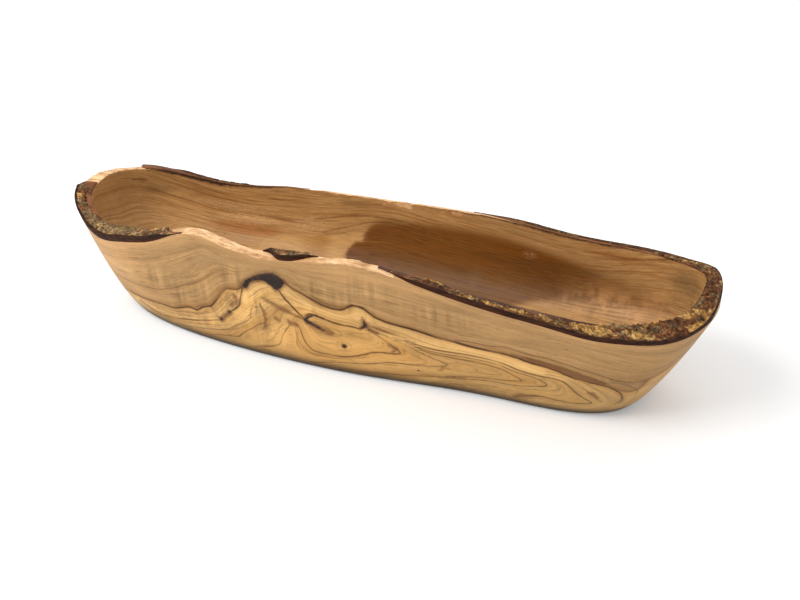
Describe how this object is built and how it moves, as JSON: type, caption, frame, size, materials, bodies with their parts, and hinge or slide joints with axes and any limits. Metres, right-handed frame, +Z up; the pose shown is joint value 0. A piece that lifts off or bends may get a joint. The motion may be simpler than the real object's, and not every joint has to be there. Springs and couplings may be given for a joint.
{
  "type": "live-edge dough bowl",
  "caption": "Long narrow carved wooden trough bowl with flared ends, a flat underside and a rim that keeps the log's natural edge and bark.",
  "frame": {"origin": "middle of the bounding box's footprint, on the flat underside", "axes": "+X along the bowl towards the right-hand end of the picture, +Y towards the far side, +Z up"},
  "size_m": [0.4188, 0.1207, 0.0838],
  "materials": {
    "olive_wood": "sanded and lightly oiled, satin",
    "inner_bark": "smooth inner bark, dull",
    "outer_bark": "rough cracked bark, matt"
  },
  "bodies": {
    "root": {"bowl_body": "olive_wood", "left_inner_bark": "inner_bark", "left_bark_crust": "outer_bark", "near_inner_bark": "inner_bark", "near_bark_crust": "outer_bark", "right_inner_bark": "inner_bark", "right_bark_crust": "outer_bark", "far_inner_bark": "inner_bark", "far_bark_crust": "outer_bark"}
  },
  "joints": []
}
